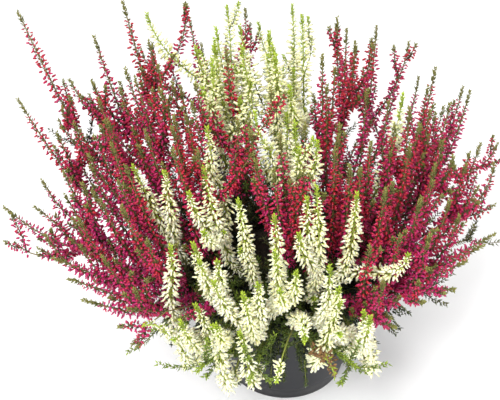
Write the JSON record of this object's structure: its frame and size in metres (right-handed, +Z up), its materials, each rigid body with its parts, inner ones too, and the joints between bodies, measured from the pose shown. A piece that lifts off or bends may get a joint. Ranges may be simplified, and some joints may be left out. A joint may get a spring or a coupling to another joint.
{
  "type": "potted heather",
  "caption": "Dark plastic plant pot filled with soil, in which red and white flowering heather grows together as a low wide clump.",
  "frame": {"origin": "centre of the pot's flat bottom, on the surface that it stands on", "axes": "+Z up; -Y is the side that faces the viewer, +X to the viewer's right"},
  "size_m": [0.3208, 0.3069, 0.272],
  "materials": {
    "pot": "satin moulded plastic",
    "soil": "moist peat soil",
    "stems": "woody stems with green scale leaves",
    "red_flowers": "satin petals",
    "white_flowers": "satin petals",
    "dried_flowers": "dry papery petals"
  },
  "bodies": {
    "root": {"pot": "pot", "soil": "soil", "plant_red_left": "stems", "plant_red_right": "stems", "plant_white_front": "stems", "plant_white_back": "stems", "spray_red_left_01": "red_flowers", "spray_red_left_02": "red_flowers", "spray_red_left_03": "red_flowers", "spray_red_left_04": "red_flowers", "spray_red_left_05": "red_flowers", "spray_red_left_06": "red_flowers", "spray_red_left_07": "red_flowers", "spray_red_left_08": "red_flowers", "spray_red_left_09": "red_flowers", "spray_red_left_10": "red_flowers", "spray_red_left_11": "red_flowers", "spray_red_left_12": "red_flowers", "spray_red_left_13": "red_flowers", "spray_red_left_14": "red_flowers", "spray_red_left_15": "red_flowers", "spray_red_left_16": "red_flowers", "spray_red_left_17": "red_flowers", "spray_red_left_18": "red_flowers", "spray_red_right_01": "red_flowers", "spray_red_right_02": "red_flowers", "spray_red_right_03": "red_flowers", "spray_red_right_04": "red_flowers", "spray_red_right_05": "red_flowers", "spray_red_right_06": "red_flowers", "spray_red_right_07": "red_flowers", "spray_red_right_08": "red_flowers", "spray_red_right_09": "red_flowers", "spray_red_right_10": "red_flowers", "spray_red_right_11": "red_flowers", "spray_red_right_12": "red_flowers", "spray_red_right_13": "red_flowers", "spray_red_right_14": "red_flowers", "spray_red_right_15": "red_flowers", "spray_red_right_16": "red_flowers", "spray_white_front_01": "white_flowers", "spray_white_front_02": "white_flowers", "spray_white_front_03": "white_flowers", "spray_white_front_04": "white_flowers", "spray_white_front_05": "white_flowers", "spray_white_front_06": "white_flowers", "spray_white_front_07": "white_flowers", "spray_white_front_08": "white_flowers", "spray_white_front_09": "white_flowers", "spray_white_front_10": "white_flowers", "spray_white_front_11": "white_flowers", "spray_white_front_12": "white_flowers", "spray_white_back_01": "white_flowers", "spray_white_back_02": "white_flowers", "spray_white_back_03": "white_flowers", "spray_white_back_04": "white_flowers", "spray_white_back_05": "white_flowers", "spray_white_back_06": "white_flowers", "spray_white_back_07": "white_flowers", "spray_dried_01": "dried_flowers"}
  },
  "joints": []
}
